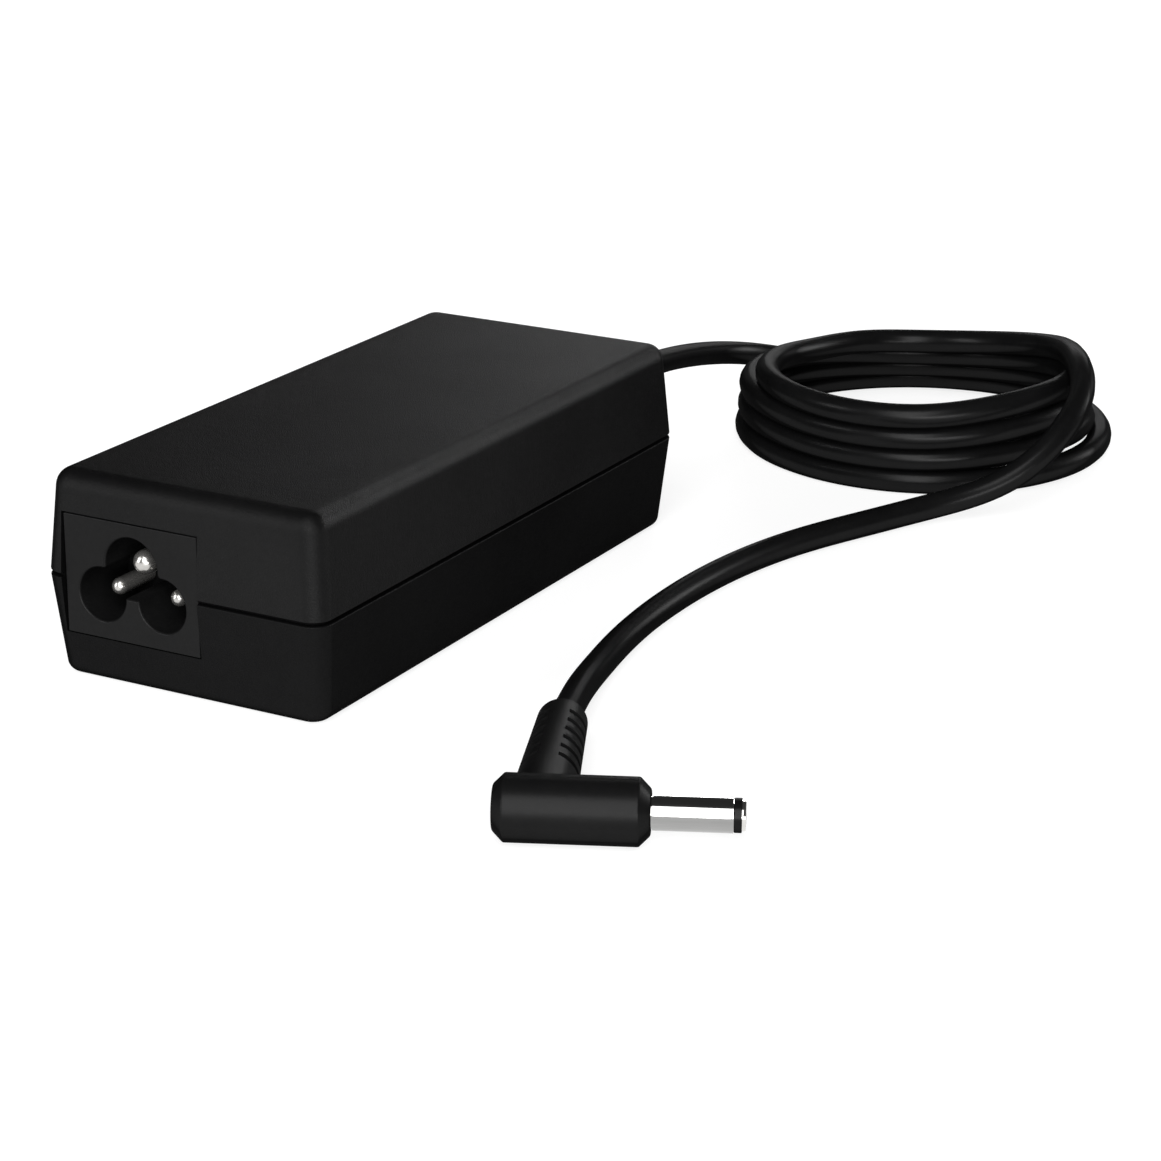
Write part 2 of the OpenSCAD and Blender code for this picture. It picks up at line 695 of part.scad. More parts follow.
module plug_body() {
    color("#1d1d1e") on_plug() difference() {
        union() {
            rod_x(plug_x0 + plug_chamfer, plug_x1 - plug_chamfer, plug_d);
            translate([plug_x0, 0, 0]) rotate([0, 90, 0])
                cylinder(h = plug_chamfer, d1 = plug_d - 2 * plug_chamfer, d2 = plug_d);
            translate([plug_x1 - plug_chamfer, 0, 0]) rotate([0, 90, 0])
                cylinder(h = plug_chamfer, d1 = plug_d, d2 = plug_d - 2 * plug_chamfer);
        }
        rod_x(barrel_x0 - fit, plug_x1 + 1, barrel_d - shank_step + 2 * pin_fit);
    }
}

module plug_boot() {
    slot_w = 1.3;
    slot_pitch = (boot_l * 0.76) / boot_slots;
    tip_x = boot_reach;
    color("#1b1b1c") on_plug() difference() {
        rotate([0, 0, boot_skew]) rotate([-boot_droop, 0, 0]) difference() {
            rotate([-90, 0, 0]) union() {
                translate([0, 0, 1]) cylinder(h = tip_x - 1.6, d1 = boot_d, d2 = boot_tip_d);
                translate([0, 0, tip_x - 0.6]) cylinder(h = 0.6, d1 = boot_tip_d, d2 = boot_tip_d - 1.2);
            }
            for (i = [0:boot_slots - 1], s = [-1, 1])
                translate([s > 0 ? boot_web / 2 : -boot_web / 2 - 3, tip_x - 4 - i * slot_pitch - slot_w, -3.4])
                    cube([3, slot_w, 6.8]);
        }
        rod_x(plug_x0 - 1, plug_x1 + 1, plug_d + 2 * pin_fit);
    }
}

module plug_barrel() {
    color("#d2d3d1") on_plug() difference() {
        union() {
            rod_x(barrel_x0, barrel_x1, barrel_d - shank_step);
            rod_x(plug_x1 + shoulder, barrel_x1, barrel_d);
        }
        rod_x(barrel_x0 - 1, barrel_x1 + 1, barrel_d - 2 * barrel_wall);
    }
}

// Black sleeve inside the barrel, flanged over the barrel's end
module plug_insulator() {
    color("#101010") on_plug() difference() {
        union() {
            rod_x(barrel_x0, barrel_x1, barrel_d - 2 * barrel_wall - 2 * sleeve_fit);
            rod_x(barrel_x1, ring_x1, barrel_d - ring_step);
        }
        rod_x(barrel_x0 - 1, ring_x1 + 1, barrel_bore_d + 2 * contact_wall + 2 * sleeve_fit);
    }
}

// Inner contact: a blind tube with a lip that caps the insulator
module plug_contact() {
    color("#c6c7c5") on_plug() difference() {
        union() {
            rod_x(barrel_x0, tip_x1, barrel_bore_d + 2 * contact_wall);
            rod_x(ring_x1, tip_x1, barrel_d - tip_step);
        }
        rod_x(barrel_x0 + contact_floor, tip_x1 + 1, barrel_bore_d);
    }
}

module plug_centre_pin() {
    color("#d2d3d1") on_plug() {
        rod_x(barrel_x0 + contact_floor, tip_x1 - pin_tip_back, centre_pin_d);
        translate([tip_x1 - pin_tip_back, 0, 0]) sphere(d = centre_pin_d);
    }
}

top_shell();
bottom_shell();
inlet_block();
line_pin();
neutral_pin();
earth_pin();
circuit_board();
insulation_sheet();
heat_spreader();
fuse();
x_capacitor();
common_mode_choke();
bridge_rectifier();
bulk_capacitor();
primary_heatsink();
primary_transistor();
transformer_core();
transformer_winding();
y_capacitor();
optocoupler();
secondary_heatsink();
output_rectifier();
output_capacitors();
output_leads();
cord_strain_relief();
cord_lead();
cord_coil();
cord_tail();
plug_boot();
plug_body();
plug_barrel();
plug_insulator();
plug_contact();
plug_centre_pin();
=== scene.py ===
from math import asin, atan2, cos, hypot, pi, radians, sin, sqrt

import bmesh
import bpy
from mathutils import Matrix, Vector


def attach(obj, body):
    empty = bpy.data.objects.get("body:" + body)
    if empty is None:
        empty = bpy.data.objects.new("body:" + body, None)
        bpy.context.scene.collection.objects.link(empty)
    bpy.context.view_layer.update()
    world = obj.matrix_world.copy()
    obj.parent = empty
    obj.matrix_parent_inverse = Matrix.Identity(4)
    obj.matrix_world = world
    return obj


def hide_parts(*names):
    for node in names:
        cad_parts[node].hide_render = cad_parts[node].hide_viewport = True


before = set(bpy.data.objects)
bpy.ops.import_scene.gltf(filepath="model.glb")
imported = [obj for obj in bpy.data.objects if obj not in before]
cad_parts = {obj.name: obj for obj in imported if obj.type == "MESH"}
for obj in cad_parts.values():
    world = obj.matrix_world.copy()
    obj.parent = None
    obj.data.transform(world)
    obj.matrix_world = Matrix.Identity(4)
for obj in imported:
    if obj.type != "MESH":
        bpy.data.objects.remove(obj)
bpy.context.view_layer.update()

# ---------- Camera ----------
# A long lens a hand's length above the table, in front of the inlet end and to the coil's side.

azimuth, elevation, roll = radians(28.562), radians(19.509), radians(0.383)
aim, camera_distance = Vector((0.0437, -0.017847, 0.0150)), 0.436559
away = Vector((sin(azimuth) * cos(elevation), -cos(azimuth) * cos(elevation), sin(elevation)))
level_right = Vector((cos(azimuth), sin(azimuth), 0))
level_up = away.cross(level_right)
camera_right = level_right * cos(roll) + level_up * sin(roll)
camera_up = level_up * cos(roll) - level_right * sin(roll)
camera = bpy.data.objects.new("camera", bpy.data.cameras.new("camera"))
camera.data.sensor_width = 36
camera.data.lens = 97.924
camera.data.clip_start = 0.02
camera.matrix_world = Matrix((camera_right, camera_up, away)).transposed().to_4x4()
camera.location = aim + away * camera_distance
bpy.context.scene.collection.objects.link(camera)
bpy.context.scene.camera = camera

# ---------- Lower half of the case ----------
# Injection-moulded black plastic with a fine spark-eroded texture. Its rim has a tongue that
# stands in the upper half's slot, and a narrow shadow groove follows the joint on the outside.
# Four bosses on its floor carry the board; the two halves are welded together.

# Sizes are in millimetres until a piece is settled
mm = 0.001
case_w, case_l, case_h = 46.0, 103.4, 30.0
joint_z = case_h / 2
case_wall, case_corner = 2.2, 3.0
least_corner, inner_corner, inner_fillet = 0.8, 0.85, 0.8
edge_steps, fillet_steps = 12, 4

# Outline of the groove that follows the joint, as (inset from the wall, height off the joint)
groove = ((0.01, 0.45), (0.045, 0.34), (0.13, 0.272), (0.95, 0.26), (0.95, 0))
groove_half = 0.27


def rounded_outline(half_w, half_l, radius):
    """Points (x, y) of a rectangle with round corners."""
    points, steps = [], 10
    for sx, sy, start in ((1, 1, 0), (-1, 1, 90), (-1, -1, 180), (1, -1, 270)):
        for i in range(steps + 1):
            a = radians(start + 90 * i / steps)
            points.append((sx * (half_w - radius) + radius * cos(a),
                           sy * (half_l - radius) + radius * sin(a)))
    return points


def mesh_piece(name, points, faces, sharp=35):
    """A piece from points in millimetres, with smooth faces and sharp edges where it turns quickly."""
    mesh = bpy.data.meshes.new(name)
    mesh.from_pydata(points, [], faces)
    shape = bmesh.new()
    shape.from_mesh(mesh)
    bmesh.ops.remove_doubles(shape, verts=shape.verts, dist=0.0005)
    bmesh.ops.recalc_face_normals(shape, faces=shape.faces)
    shape.to_mesh(mesh)
    shape.free()
    mesh.shade_smooth()
    mesh.set_sharp_from_angle(angle=radians(sharp))
    piece = bpy.data.objects.new(name, mesh)
    bpy.context.scene.collection.objects.link(piece)
    return piece


def loft(rings):
    """Points and faces of a closed skin over rings of equal counts, with both ends capped."""
    n = len(rings[0])
    points = [p for ring in rings for p in ring]
    faces = [(k * n + i, k * n + (i + 1) % n, (k + 1) * n + (i + 1) % n, (k + 1) * n + i)
             for k in range(len(rings) - 1) for i in range(n)]
    faces += [tuple(range(n))[::-1], tuple((len(rings) - 1) * n + i for i in range(n))]
    return points, faces


def plain_mesh(piece):
    """Bakes the piece's modifiers into its mesh."""
    graph = bpy.context.evaluated_depsgraph_get()
    graph.update()
    baked = bpy.data.meshes.new_from_object(piece.evaluated_get(graph))
    piece.modifiers.clear()
    before, piece.data = piece.data, baked
    baked.name = piece.name
    bpy.data.meshes.remove(before)


def cut_away(piece, cutter, operation="DIFFERENCE"):
    """Cuts the cutter out of the piece, or joins it on, and removes the cutter."""
    step = piece.modifiers.new("cut", "BOOLEAN")
    step.operation, step.solver, step.object = operation, "EXACT", cutter
    plain_mesh(piece)
    bpy.data.objects.remove(cutter)


def settle(piece, material, *nodes, slot, sharp=35):
    """Turns a finished piece to metres, dresses it and hands it to the frame."""
    piece.data.transform(Matrix.Scale(mm, 4))
    piece.data.materials.clear()
    piece.data.materials.append(material)
    piece.data.shade_smooth()
    piece.data.set_sharp_from_angle(angle=radians(sharp))
    even = piece.modifiers.new("even shading", "WEIGHTED_NORMAL")
    even.keep_sharp = True
    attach(piece, "root")
    if nodes:
        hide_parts(*nodes)


def case_section(side, edge, draft, joint):
    """Rings of one half from the middle of its outside, over the rim, to the middle of its inside."""
    lean = draft / joint_z
    rings = []

    def ring(inset, rise, radius):
        rings.append([(x, y, joint_z + side * rise) for x, y in
                      rounded_outline(case_w / 2 - inset, case_l / 2 - inset, radius)])

    start = atan2(draft + edge, joint_z - edge) - asin(edge / hypot(draft + edge, joint_z - edge))
    for i in range(edge_steps, -1, -1):
        a = start + (pi / 2 - start) * i / edge_steps
        ring(draft + edge - edge * cos(a), joint_z - edge + edge * sin(a),
             case_corner - edge + edge * cos(a))
    for inset, rise in groove + joint:
        ring(inset, rise, max(case_corner - inset, least_corner))
    inner_top = joint_z - case_wall
    fillet_foot = inner_top - inner_fillet
    for i in range(fillet_steps + 1):
        a = pi / 2 * i / fillet_steps
        ring(case_wall + lean * fillet_foot + inner_fillet - inner_fillet * cos(a),
             fillet_foot + inner_fillet * sin(a), inner_corner)
    return loft(rings)


def box_piece(name, low, high):
    """A box from its lowest to its highest corner."""
    (x0, y0, z0), (x1, y1, z1) = low, high
    return mesh_piece(name, *loft([[(x0, y0, z), (x1, y0, z), (x1, y1, z), (x0, y1, z)] for z in (z0, z1)]))


def turned_piece(name, profile, origin=(0, 0, 0), along=(0, 1, 0), around=96, sharp=35):
    """A piece turned about an axis, from stations (distance along it, radius)."""
    along = Vector(along).normalized()
    side = along.orthogonal().normalized()
    other = along.cross(side)
    turns = [2 * pi * i / around for i in range(around)]
    # A tip's ring is this small, so that its points merge
    least_r = 0.0004
    rings = [[Vector(origin) + along * d + (side * cos(a) + other * sin(a)) * max(r, least_r) for a in turns]
             for d, r in profile]
    return mesh_piece(name, *loft(rings), sharp=sharp)


# The window takes the inlet with a hair's gap, wider at its left, and the cord leaves at the far end
inlet_w, inlet_h, inlet_x, inlet_z0, inlet_face = 22.2, 17.3, -8.2, 6.8, -51.1
inlet_x0, inlet_x1, inlet_z1 = inlet_x - inlet_w / 2, inlet_x + inlet_w / 2, inlet_z0 + inlet_h
gap_left, gap_right, gap_above_below = 0.42, 0.14, 0.2
cord_hole_r = 4.5


def open_ends(piece):
    """Cuts the inlet's window and the cord's hole through the end walls of a half of the case."""
    cut_away(piece, box_piece("window", (inlet_x0 - gap_left, -60, inlet_z0 - gap_above_below),
                              (inlet_x1 + gap_right, -40, inlet_z1 + gap_above_below)))
    cut_away(piece, turned_piece("cord hole", [(44, cord_hole_r), (60, cord_hole_r)], origin=(0, 0, joint_z)))


def plastic_surface():
    """Colour, roughness and height of a textured surface: fine grain, soft patches, dust and wear."""
    tree = bpy.data.node_groups.new("moulded surface", "ShaderNodeTree")
    for label, kind, value in (
            ("Position", "NodeSocketVector", None), ("Grain", "NodeSocketFloat", 4000),
            ("Patches", "NodeSocketFloat", 60), ("Dark", "NodeSocketColor", (0, 0, 0, 1)),
            ("Light", "NodeSocketColor", (1, 1, 1, 1)), ("Smoothest", "NodeSocketFloat", 0.4),
            ("Roughest", "NodeSocketFloat", 0.6), ("Wear", "NodeSocketFloat", 0.1)):
        socket = tree.interface.new_socket(label, in_out="INPUT", socket_type=kind)
        if value is not None:
            socket.default_value = value
    for label, kind in (("Colour", "NodeSocketColor"), ("Roughness", "NodeSocketFloat"),
                        ("Height", "NodeSocketFloat")):
        tree.interface.new_socket(label, in_out="OUTPUT", socket_type=kind)
    new, link = tree.nodes.new, tree.links.new
    source, result = new("NodeGroupInput"), new("NodeGroupOutput")

    def noise(scale, detail, rough):
        node = new("ShaderNodeTexNoise")
        node.inputs["Detail"].default_value, node.inputs["Roughness"].default_value = detail, rough
        link(source.outputs["Position"], node.inputs["Vector"])
        if isinstance(scale, str):
            link(source.outputs[scale], node.inputs["Scale"])
        else:
            node.inputs["Scale"].default_value = scale
        return node.outputs["Fac"]

    def maths(operation, *values):
        node = new("ShaderNodeMath")
        node.operation = operation
        for socket, value in zip(node.inputs, values):
            if isinstance(value, (int, float)):
                socket.default_value = value
            else:
                link(value, socket)
        return node.outputs["Value"]

    def spread(value, low, high, out_low, out_high):
        node = new("ShaderNodeMapRange")
        link(value, node.inputs["Value"])
        for label, number in (("From Min", low), ("From Max", high),
                              ("To Min", out_low), ("To Max", out_high)):
            if isinstance(number, (int, float)):
                node.inputs[label].default_value = number
            else:
                link(number, node.inputs[label])
        return node.outputs["Result"]

    dust_scale, wear_scale = 900, 22
    grain = noise("Grain", 2.0, 0.6)
    patches = noise("Patches", 4.0, 0.55)
    dust = noise(dust_scale, 3.0, 0.7)
    worn = maths("MULTIPLY", spread(noise(wear_scale, 5.0, 0.62), 0.48, 0.66, 0, 1), source.outputs["Wear"])
    tone = maths("ADD", maths("MULTIPLY", spread(patches, 0.3, 0.7, 0, 1), 0.6),
                 maths("MULTIPLY", spread(dust, 0.3, 0.7, 0, 1), 0.4))
    colour = new("ShaderNodeMix")
    colour.data_type = "RGBA"
    link(maths("ADD", tone, worn), colour.inputs["Factor"])
    link(source.outputs["Dark"], colour.inputs["A"])
    link(source.outputs["Light"], colour.inputs["B"])
    link(colour.outputs["Result"], result.inputs["Colour"])
    even_mix = maths("ADD", maths("MULTIPLY", patches, 0.5), maths("MULTIPLY", grain, 0.5))
    polished = maths("SUBTRACT", even_mix, maths("MULTIPLY", worn, 0.2))
    link(spread(polished, 0.35, 0.65, source.outputs["Smoothest"], source.outputs["Roughest"]),
         result.inputs["Roughness"])
    link(maths("ADD", grain, maths("MULTIPLY", dust, 0.5)), result.inputs["Height"])
    return tree


surface_tree = plastic_surface()


def finish(name, dark, light, rough, grain=4000, patches=60, wear=0.1, bump=0.00001, metallic=0.0,
           specular=0.5, stretch=None, turn=None, satin=None, sheen=(1.0, 0.08)):
    """A material on the shared surface group; stretch and turn lay its grain along an axis. Satin is the
    roughness of a weak outer sheen, and sheen its share where it is seen face on and edge on."""
    made = bpy.data.materials.new(name)
    made.use_nodes = True
    nodes, link = made.node_tree.nodes, made.node_tree.links.new
    shader = nodes["Principled BSDF"]
    place = nodes.new("ShaderNodeTexCoord").outputs["Object"]
    if stretch or turn:
        mapping = nodes.new("ShaderNodeMapping")
        mapping.vector_type = "TEXTURE" if turn else "POINT"
        if turn:
            mapping.inputs["Rotation"].default_value = turn
        if stretch:
            mapping.inputs["Scale"].default_value = stretch
        link(place, mapping.inputs["Vector"])
        place = mapping.outputs["Vector"]
    surface = nodes.new("ShaderNodeGroup")
    surface.node_tree = surface_tree
    link(place, surface.inputs["Position"])
    surface.inputs["Grain"].default_value, surface.inputs["Patches"].default_value = grain, patches
    surface.inputs["Dark"].default_value, surface.inputs["Light"].default_value = (*dark, 1), (*light, 1)
    surface.inputs["Smoothest"].default_value, surface.inputs["Roughest"].default_value = rough
    surface.inputs["Wear"].default_value = wear
    link(surface.outputs["Colour"], shader.inputs["Base Color"])
    link(surface.outputs["Roughness"], shader.inputs["Roughness"])
    relief = nodes.new("ShaderNodeBump")
    relief.inputs["Distance"].default_value = bump
    link(surface.outputs["Height"], relief.inputs["Height"])
    link(relief.outputs["Normal"], shader.inputs["Normal"])
    shader.inputs["Metallic"].default_value = metallic
    shader.inputs["Specular IOR Level"].default_value = specular
    if satin:
        shader.inputs["Coat IOR"].default_value = 1.2
        shader.inputs["Coat Roughness"].default_value = satin
        edge_on, fade = nodes.new("ShaderNodeLayerWeight"), nodes.new("ShaderNodeMapRange")
        edge_on.inputs["Blend"].default_value = 0.5
        link(edge_on.outputs["Facing"], fade.inputs["Value"])
        for label, value in (("From Min", 0.2), ("From Max", 0.56),
                             ("To Min", sheen[0]), ("To Max", sheen[1])):
            fade.inputs[label].default_value = value
        link(fade.outputs["Result"], shader.inputs["Coat Weight"])
        link(relief.outputs["Normal"], shader.inputs["Coat Normal"])
    return made


upper_black = finish("upper case black", (0.0028, 0.0028, 0.0029), (0.0052, 0.0052, 0.0053), (0.5, 0.68),
                     grain=5200, patches=45, wear=0.3, bump=0.00007, specular=0.0, satin=0.42)
# Painted shade: the lower half's copy is darker and has less sheen, for the shade on the half that leans in
# under the joint towards the floor
lower_black_painted_shade = finish("lower case black with painted shade", (0.0025, 0.0025, 0.0026), (0.0046, 0.0046, 0.0047), (0.54, 0.7),
                     grain=4800, patches=50, wear=0.3, bump=0.00007, specular=0.0, satin=0.45,
                     sheen=(0.62, 0.05))


def paint_joint_shade(material, height, half_gap):
    """Paints shade into the groove along the joint: takes the outer sheen off there, by height, where hardly
    any light comes in.
    """
    nodes, link = material.node_tree.nodes, material.node_tree.links.new
    weight = nodes["Principled BSDF"].inputs["Coat Weight"]
    split, above, away_from, open_air, kept = (nodes.new(kind) for kind in (
        "ShaderNodeSeparateXYZ", "ShaderNodeMath", "ShaderNodeMath", "ShaderNodeMapRange", "ShaderNodeMath"))
    link(nodes.new("ShaderNodeTexCoord").outputs["Object"], split.inputs["Vector"])
    above.operation, away_from.operation, kept.operation = "SUBTRACT", "ABSOLUTE", "MULTIPLY"
    link(split.outputs["Z"], above.inputs[0])
    above.inputs[1].default_value = height
    link(above.outputs["Value"], away_from.inputs[0])
    link(away_from.outputs["Value"], open_air.inputs["Value"])
    open_air.inputs["From Min"].default_value = half_gap
    open_air.inputs["From Max"].default_value = half_gap * 1.3
    link(weight.links[0].from_socket, kept.inputs[0])
    link(open_air.outputs["Result"], kept.inputs[1])
    link(kept.outputs["Value"], weight)


# Painted shade: both halves lose their sheen inside the joint's groove, where the groove lies in shade
for plastic in (upper_black, lower_black_painted_shade):
    paint_joint_shade(plastic, joint_z * mm, groove_half * mm)

floor_z, boss_x, boss_y, boss_r, boss_h = 2.0, 16.0, 44.7, 2.5, 3.0
lower_half = mesh_piece("lower_half", *case_section(side=-1, edge=1.8, draft=1.2,
                                                    joint=((1.4, 0), (1.4, -1.4), (2.2, -1.4))))
open_ends(lower_half)
for sx in (-1, 1):
    for sy in (-1, 1):
        boss = turned_piece("boss", [(0, boss_r), (boss_h, boss_r)],
                            origin=(sx * boss_x, sy * boss_y, floor_z), along=(0, 0, 1), around=32)
        cut_away(lower_half, boss, "UNION")
settle(lower_half, lower_black_painted_shade, "bottom_shell", slot="case_plastic")

# ---------- Insulating sheet and circuit board ----------
# A thin film of insulating paper lies on the case's floor under the soldered side of the board.
# The board is glass-fibre laminate with green solder resist, held on the four bosses.


def dress(node, material):
    """Gives a node of the frame another material in every slot."""
    for slot in bpy.data.objects[node].material_slots:
        slot.material = material


dress("insulation_sheet", finish("insulating film", (0.62, 0.58, 0.45), (0.78, 0.74, 0.62), (0.35, 0.5),
                                 grain=2500, patches=120, bump=0.00001))
dress("circuit_board", finish("solder resist", (0.008, 0.07, 0.022), (0.014, 0.12, 0.04), (0.22, 0.38),
                              grain=3000, patches=300, wear=0.3))

# ---------- Components on the board ----------
# Bought-in parts soldered through the board: a glass fuse, a boxed film capacitor, a wound choke,
# moulded rectifier, capacitors in heat-shrunk sleeves, and semiconductors on aluminium plates.
# The transformer is a ferrite core over a taped winding.

dress("fuse", finish("fuse glass and caps", (0.42, 0.43, 0.42), (0.62, 0.63, 0.6), (0.12, 0.25),
                     grain=1500, patches=400, bump=0.000004, metallic=0.6))
dress("x_capacitor", finish("film capacitor box", (0.42, 0.24, 0.03), (0.55, 0.33, 0.05), (0.3, 0.42),
                            grain=2600, patches=150, wear=0.3))
dress("common_mode_choke", finish("enamelled copper", (0.19, 0.06, 0.015), (0.48, 0.19, 0.05), (0.2, 0.36),
                                  grain=900, patches=300, bump=0.00006, metallic=0.6, stretch=(1, 1, 0.15)))
for node in ("bridge_rectifier", "primary_transistor", "output_rectifier", "optocoupler"):
    dress(node, finish(node.replace("_", " "), (0.008, 0.008, 0.009), (0.018, 0.018, 0.02), (0.35, 0.5),
                       grain=4500, patches=250, wear=0.3, bump=0.00001, specular=0.35))
dress("bulk_capacitor", finish("black sleeve", (0.01, 0.01, 0.014), (0.022, 0.022, 0.03), (0.25, 0.36),
                               grain=1800, patches=200, wear=0.3, bump=0.000006))
dress("output_capacitors", finish("green sleeve", (0.01, 0.035, 0.03), (0.02, 0.06, 0.05), (0.25, 0.36),
                                  grain=1800, patches=200, wear=0.3, bump=0.000006))
for node in ("primary_heatsink", "secondary_heatsink"):
    dress(node, finish(node.replace("_", " "), (0.5, 0.51, 0.52), (0.66, 0.67, 0.68), (0.28, 0.42),
                       grain=2400, patches=160, wear=0.3, bump=0.00001, metallic=1.0, stretch=(1, 0.08, 1)))
dress("transformer_core", finish("ferrite grey", (0.02, 0.02, 0.021), (0.04, 0.04, 0.042), (0.42, 0.6),
                                 grain=3800, patches=350, wear=0.3, bump=0.00002))
dress("transformer_winding", finish("yellow winding tape", (0.62, 0.42, 0.03), (0.75, 0.55, 0.07),
                                    (0.22, 0.34), grain=1200, patches=180, wear=0.3, bump=0.00001,
                                    stretch=(1, 1, 5)))
dress("y_capacitor", finish("blue ceramic", (0.02, 0.09, 0.32), (0.04, 0.14, 0.42), (0.16, 0.28),
                            grain=1500, patches=250, bump=0.00001))
dress("output_leads", finish("lead insulation", (0.3, 0.012, 0.01), (0.42, 0.02, 0.016), (0.3, 0.42),
                             grain=2600, patches=300, bump=0.000008))
dress("heat_spreader", finish("sheet aluminium", (0.52, 0.53, 0.54), (0.7, 0.71, 0.72), (0.26, 0.4),
                              grain=2200, patches=90, wear=0.3, bump=0.000008, metallic=1.0,
                              stretch=(1, 0.05, 1)))

# ---------- Mains inlet ----------
# A moulded three-lobed inlet with a moulded rim round its cavity, pushed into the window from
# inside; a flange behind the wall keeps it in. Its face stands just behind the joint's edge.

pin_z, lobe_r, earth_rise, earth_r, half_pitch = 13.2, 3.9, 4.6, 4.35, 5.0
inlet_depth, cavity_depth, rim = 16, 11, 0.34
cavity_floor = inlet_face + cavity_depth


def lobed_outline(grown):
    """The cavity's outline, grown outwards, as points (x, z) at equal counts."""
    r, e = lobe_r + grown, earth_r + grown
    points = []

    def arc(cx, cz, radius, a0, a1, steps):
        for i in range(steps + 1):
            a = a0 + (a1 - a0) * i / steps
            points.append((inlet_x + cx + radius * cos(a), pin_z + cz + radius * sin(a)))

    rib = asin(grown / r)
    arc(half_pitch, 0, r, pi + rib, 2.5 * pi, 40)
    # The shoulders are rounded where they meet the upper lobe
    top, soft = lobe_r + grown, 0.45
    turn_z = top + soft
    turn_x = sqrt((e + soft) ** 2 - (turn_z - earth_rise) ** 2)
    meet = atan2(turn_z - earth_rise, turn_x)
    arc(turn_x, turn_z, soft, 1.5 * pi, pi + meet, 6)
    arc(0, earth_rise, e, meet, pi - meet, 40)
    arc(-turn_x, turn_z, soft, 2 * pi - meet, 1.5 * pi, 6)
    arc(-half_pitch, 0, r, pi / 2, 2 * pi - rib, 40)
    return points


def cavity_ring(grown, y):
    """The cavity's outline, grown outwards, at one depth."""
    return [(x, y, z) for x, z in lobed_outline(grown)]


inlet = box_piece("inlet", (inlet_x0, inlet_face, inlet_z0), (inlet_x1, inlet_face + inlet_depth, inlet_z1))
edge_break = inlet.modifiers.new("edge", "BEVEL")
edge_break.width, edge_break.segments = 0.12, 2
plain_mesh(inlet)
flange_y0, flange_y1, flange_step = -48.1, -46.6, 1.3
cut_away(inlet, box_piece("flange", (inlet_x0 + 3, flange_y0, inlet_z0 + 0.05),
                          (inlet_x1 + flange_step, flange_y1, inlet_z1 + flange_step)), "UNION")
# The cavity from its rounded floor to the rolled rim, and on past the face so that the cut is clean
bottom = [cavity_ring(-0.3, cavity_floor), cavity_ring(-0.09, cavity_floor + 0.09),
          cavity_ring(0, cavity_floor + 0.3)]
mouth = [cavity_ring(rim * (1 - cos(a)), inlet_face + rim * (1 - sin(a)))
         for a in (radians(12 * i) for i in range(7))]
outside = [cavity_ring(rim * 0.72, inlet_face - 0.5)]
cut_away(inlet, mesh_piece("cavity", *loft(bottom + mouth + outside)))
inlet_black = finish("inlet black", (0.0048, 0.0048, 0.0049), (0.0085, 0.0085, 0.0086), (0.42, 0.6),
                     grain=5600, patches=55, wear=0.3, bump=0.00002, specular=0.0, satin=0.37)
settle(inlet, inlet_black, "inlet_block", slot="inlet_plastic", sharp=25)

# ---------- Inlet pins ----------
# Brass contacts with bright nickel plating, turned to a domed tip and pressed through the block;
# each is bent down behind it and soldered through the board. The earth contact is thicker.

nickel = finish("bright nickel", (0.5, 0.49, 0.47), (0.68, 0.665, 0.64), (0.2, 0.34), grain=1600, patches=260,
                wear=0.3, bump=0.0000008, metallic=0.9, stretch=(1, 0.1, 1))
tail_r, tail_foot, tail_reach, shank_step = 0.7, 4.2, 2.2, 0.2
tail_y = inlet_face + inlet_depth + tail_reach - tail_r
for name, x, z, width, setback in (("line_pin", inlet_x - half_pitch, pin_z, 2.4, 3.0),
                                   ("neutral_pin", inlet_x + half_pitch, pin_z, 2.4, 3.0),
                                   ("earth_pin", inlet_x, pin_z + earth_rise, 3.5, 1.8)):
    r, tip, seat = width / 2, inlet_face + setback, cavity_floor - shank_step
    dome = [(tip + r - r * cos(a), r * sin(a)) for a in (radians(6 * i) for i in range(16))]
    shank = [(seat, r), (seat, r - shank_step), (tail_y, r - shank_step)]
    pin = turned_piece(name + "_contact", dome + shank, origin=(x, 0, z), around=72)
    cut_away(pin, turned_piece("tail", [(tail_foot, tail_r), (z, tail_r)], origin=(x, tail_y, 0),
                               along=(0, 0, 1), around=32), "UNION")
    settle(pin, nickel, name, slot="nickel_contact")

# ---------- Upper half of the case ----------
# Moulded in the same kind of black plastic, a shade shinier and lighter than the lower half, whose darker,
# duller copy is painted shade.
# A slot inside its rim takes the lower half's tongue, and its top edge is rounder than the base edge.

upper_half = mesh_piece("upper_half", *case_section(side=1, edge=2.8, draft=0.9,
                                                    joint=((1.2, 0), (1.2, 1.6), (2.36, 1.6))))
open_ends(upper_half)
settle(upper_half, upper_black, "top_shell", slot="case_plastic")

# ---------- Strain relief ----------
# Soft black rubber moulded onto the cord: a collar held behind the end wall, a neck through it
# and a tapered sleeve with ribs that let it bend in one even curve.

collar_y, wall_y, relief_l = 46.82, case_l / 2, 16.0
collar_end, relief_end = collar_y + 2, wall_y + relief_l
bore_r, collar_r, neck_r, tip_r = 2.2, 6.0, 4.3, 3.05
relief = turned_piece("strain_relief", [
    (collar_y, bore_r), (collar_y, collar_r - 0.2), (collar_y + 0.2, collar_r), (collar_end - 0.2, collar_r),
    (collar_end, collar_r - 0.2), (collar_end, neck_r), (wall_y + 0.2, neck_r), (wall_y + 0.5, neck_r - 0.15),
    (wall_y + 0.55, 3.6), (relief_end - 2.1, tip_r - 0.2), (relief_end - 2, tip_r), (relief_end - 0.3, tip_r),
    (relief_end, tip_r - 0.3), (relief_end, bore_r)], origin=(0, 0, joint_z))


